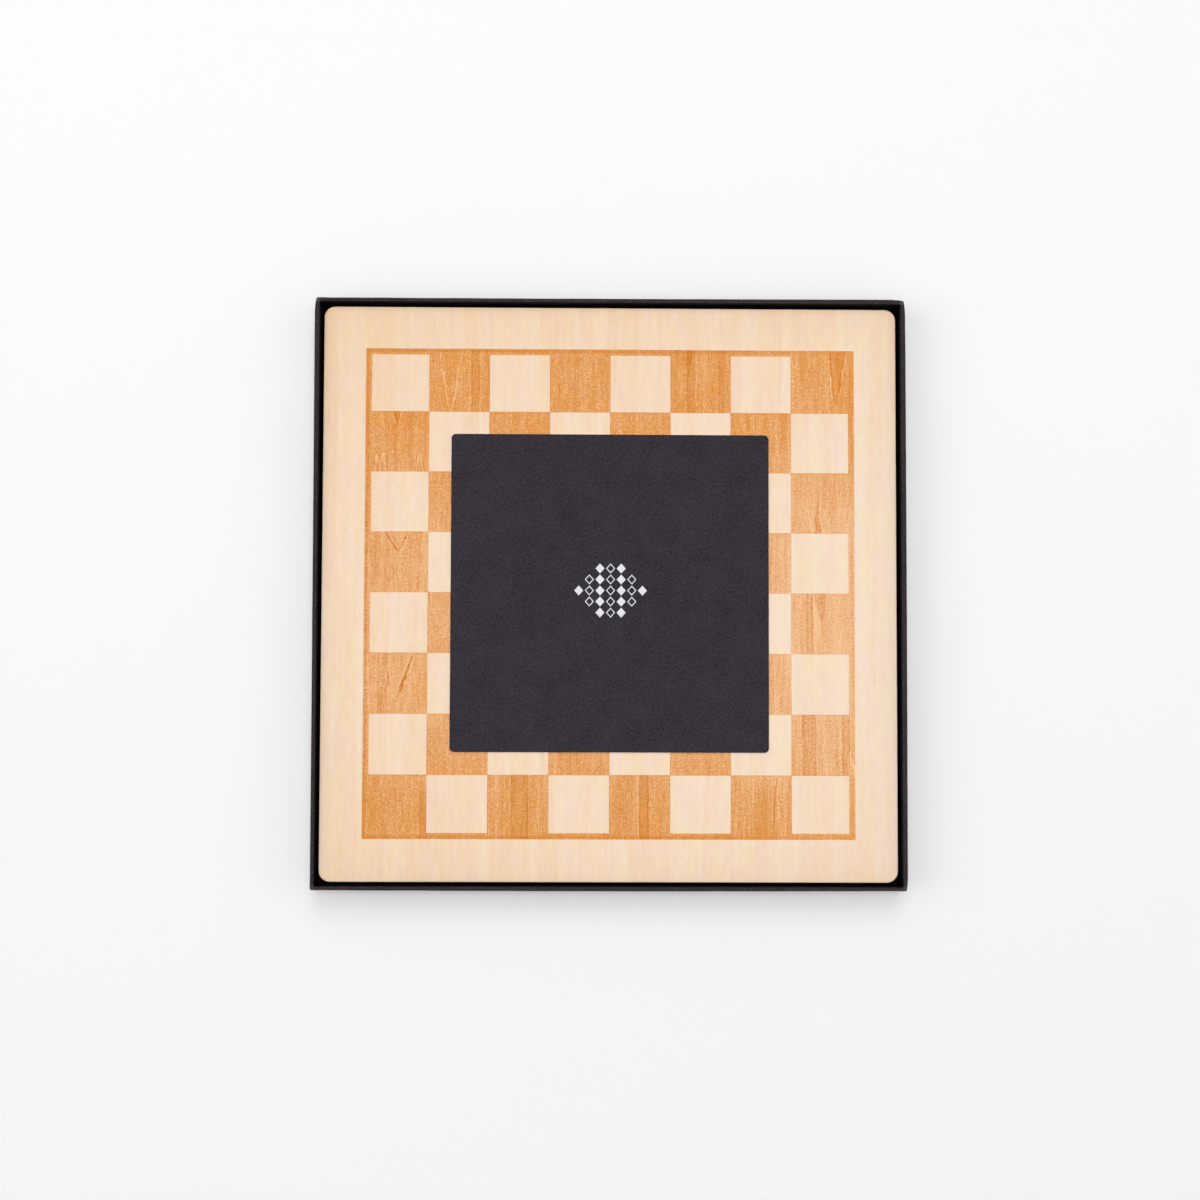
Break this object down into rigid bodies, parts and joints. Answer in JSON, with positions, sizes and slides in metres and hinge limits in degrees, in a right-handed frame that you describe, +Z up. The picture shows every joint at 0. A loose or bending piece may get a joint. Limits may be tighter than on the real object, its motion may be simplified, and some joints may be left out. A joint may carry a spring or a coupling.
{
  "type": "boxed chess board",
  "caption": "Square wooden chess board with an engraved playing field, lying in an open black tray, with a stitched square booklet on it.",
  "frame": {"origin": "centre of the tray's underside", "axes": "+Z up out of the tray; -Y is the player's side whose left-hand corner square is dark, and the booklet's fold faces -X"},
  "size_m": [0.39, 0.39, 0.0253],
  "materials": {
    "black_paper": "matt, lightly textured",
    "grey_board": "raw",
    "stay_tape": "raw kraft",
    "core_board": "raw",
    "maple_lipping": "satin oiled",
    "maple_veneer": "satin oiled, laser-engraved pattern",
    "felt": "napped",
    "cover_card": "matt printed",
    "page_paper": "uncoated",
    "staple_wire": "drawn wire"
  },
  "bodies": {
    "tray": {"base_paper": "black_paper", "base_board": "grey_board", "wall_front": "grey_board", "wall_right": "grey_board", "wall_back": "grey_board", "wall_left": "grey_board", "corner_stay_front_left": "stay_tape", "corner_stay_front_right": "stay_tape", "corner_stay_back_right": "stay_tape", "corner_stay_back_left": "stay_tape", "side_wrap": "black_paper", "floor_lining": "black_paper"},
    "board": {"board_core": "core_board", "lipping_front": "maple_lipping", "lipping_right": "maple_lipping", "lipping_back": "maple_lipping", "lipping_left": "maple_lipping", "face_veneer": "maple_veneer", "back_veneer": "maple_veneer", "felt_foot_front_left": "felt", "felt_foot_front_right": "felt", "felt_foot_back_right": "felt", "felt_foot_back_left": "felt"},
    "booklet": {"back_cover": "cover_card", "back_leaf_1": "page_paper", "back_leaf_2": "page_paper", "back_leaf_3": "page_paper", "staple_front": "staple_wire", "staple_back": "staple_wire"},
    "cover": {"front_cover": "cover_card"},
    "leaf_1": {"front_leaf_1": "page_paper"},
    "leaf_2": {"front_leaf_2": "page_paper"},
    "leaf_3": {"front_leaf_3": "page_paper"}
  },
  "joints": [
    {"name": "board_lift", "type": "slide", "parent": "tray", "child": "board", "axis": [0, 0, 1], "range_m": [0, 0.06]},
    {"name": "booklet_lift", "type": "slide", "parent": "board", "child": "booklet", "axis": [0, 0, 1], "range_m": [0, 0.06]},
    {"name": "cover_open", "type": "hinge", "parent": "booklet", "child": "cover", "pos_m": [-0.1042, 0, 0.02005], "axis": [0, -1, 0], "range_deg": [0, 170]},
    {"name": "leaf_1_turn", "type": "hinge", "parent": "booklet", "child": "leaf_1", "pos_m": [-0.1042, 0, 0.02005], "axis": [0, -1, 0], "range_deg": [0, 127.6]},
    {"name": "leaf_2_turn", "type": "hinge", "parent": "booklet", "child": "leaf_2", "pos_m": [-0.1042, 0, 0.02005], "axis": [0, -1, 0], "range_deg": [0, 85.1]},
    {"name": "leaf_3_turn", "type": "hinge", "parent": "booklet", "child": "leaf_3", "pos_m": [-0.1042, 0, 0.02005], "axis": [0, -1, 0], "range_deg": [0, 42.6]}
  ],
  "couplings": [
    {"joint": "leaf_1_turn", "follows": "cover_open", "ratio": 0.75},
    {"joint": "leaf_2_turn", "follows": "cover_open", "ratio": 0.5},
    {"joint": "leaf_3_turn", "follows": "cover_open", "ratio": 0.25}
  ]
}
